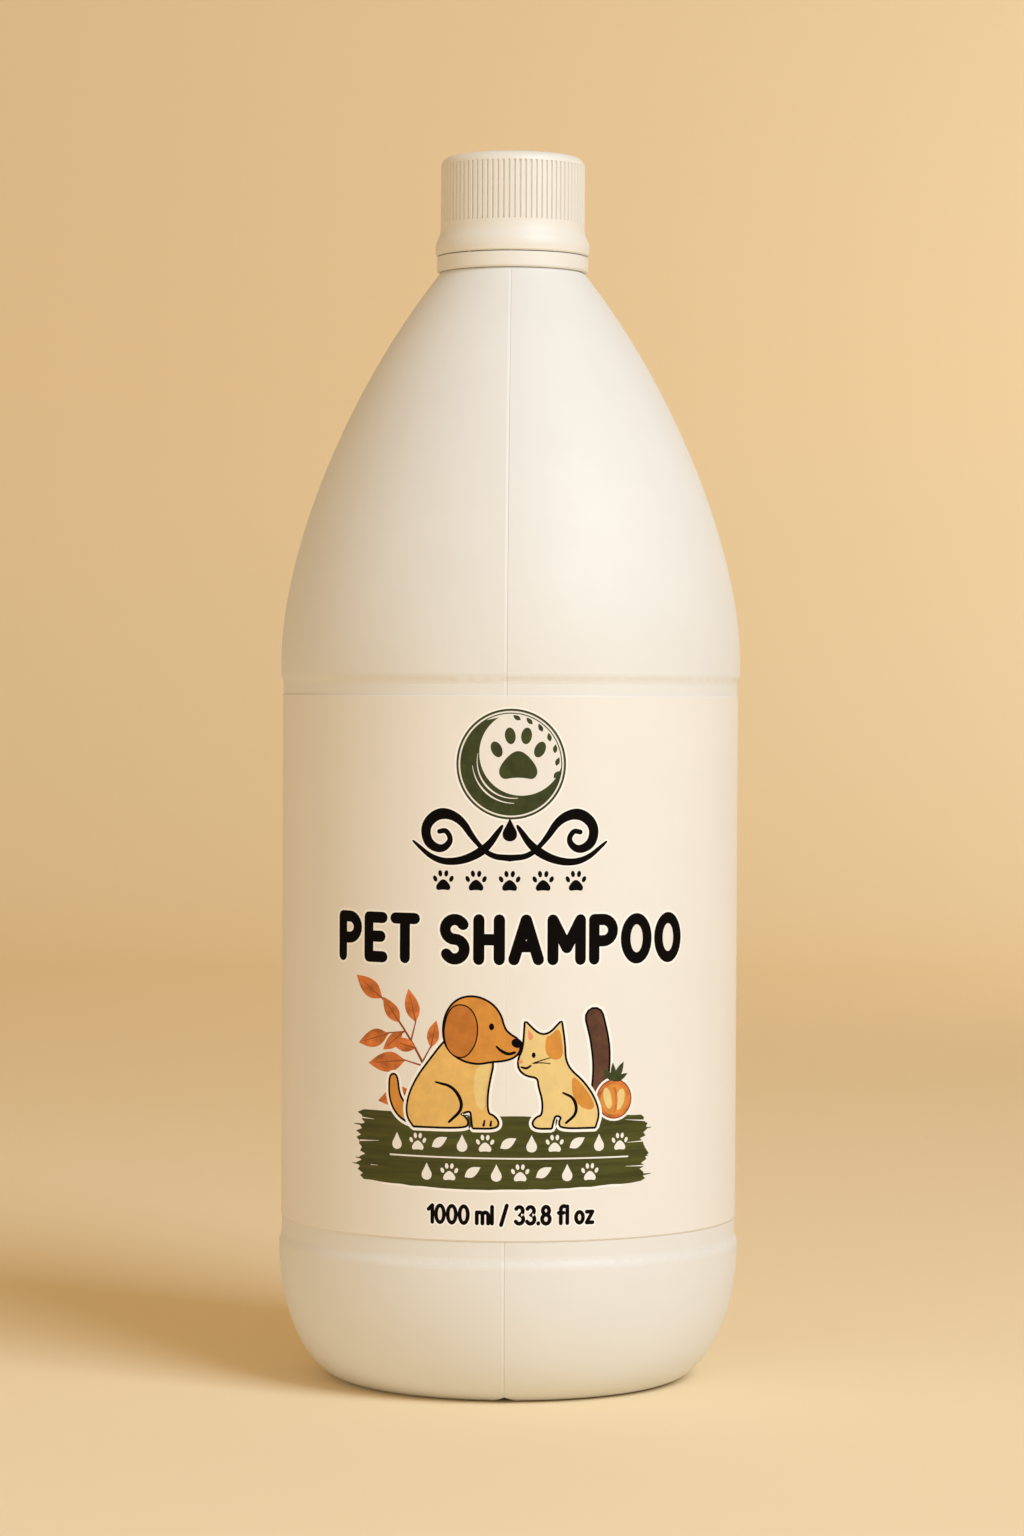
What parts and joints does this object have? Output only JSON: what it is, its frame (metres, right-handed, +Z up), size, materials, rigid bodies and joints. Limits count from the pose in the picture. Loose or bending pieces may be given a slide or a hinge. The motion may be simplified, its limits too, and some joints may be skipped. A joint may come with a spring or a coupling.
{
  "type": "shampoo bottle",
  "caption": "Round blow-moulded plastic bottle with a wrap-round label, a ribbed screw cap and a tamper-evident band.",
  "frame": {"origin": "centre of the foot ring, on the surface the bottle stands on", "axes": "+Z up along the bottle's axis; the front of the label faces -Y; +X is to the right of the label's front"},
  "size_m": [0.089, 0.089, 0.2362],
  "materials": {
    "bottle_hdpe": "satin",
    "cap_pp": "satin",
    "label_film": "satin",
    "liner_foam": "matte"
  },
  "bodies": {
    "bottle": {"bottle": "bottle_hdpe", "wrap_label": "label_film"},
    "liner": {"cap_liner": "liner_foam"},
    "cap": {"screw_cap": "cap_pp"},
    "tamper_band": {"tamper_band": "cap_pp", "band_webs": "cap_pp"}
  },
  "joints": [
    {"name": "cap_lift", "type": "slide", "parent": "bottle", "child": "liner", "axis": [0, 0, 1], "range_m": [0, 0.0255]},
    {"name": "cap_turn", "type": "hinge", "parent": "liner", "child": "cap", "pos_m": [0, 0, 0.225], "axis": [0, 0, 1], "range_deg": [0, 2880]},
    {"name": "band_spin", "type": "hinge", "parent": "bottle", "child": "tamper_band", "pos_m": [0, 0, 0.2154], "axis": [0, 0, 1], "continuous": true}
  ],
  "couplings": [
    {"joint": "cap_lift", "follows": "cap_turn", "m_per_rad": 0.00050532}
  ]
}
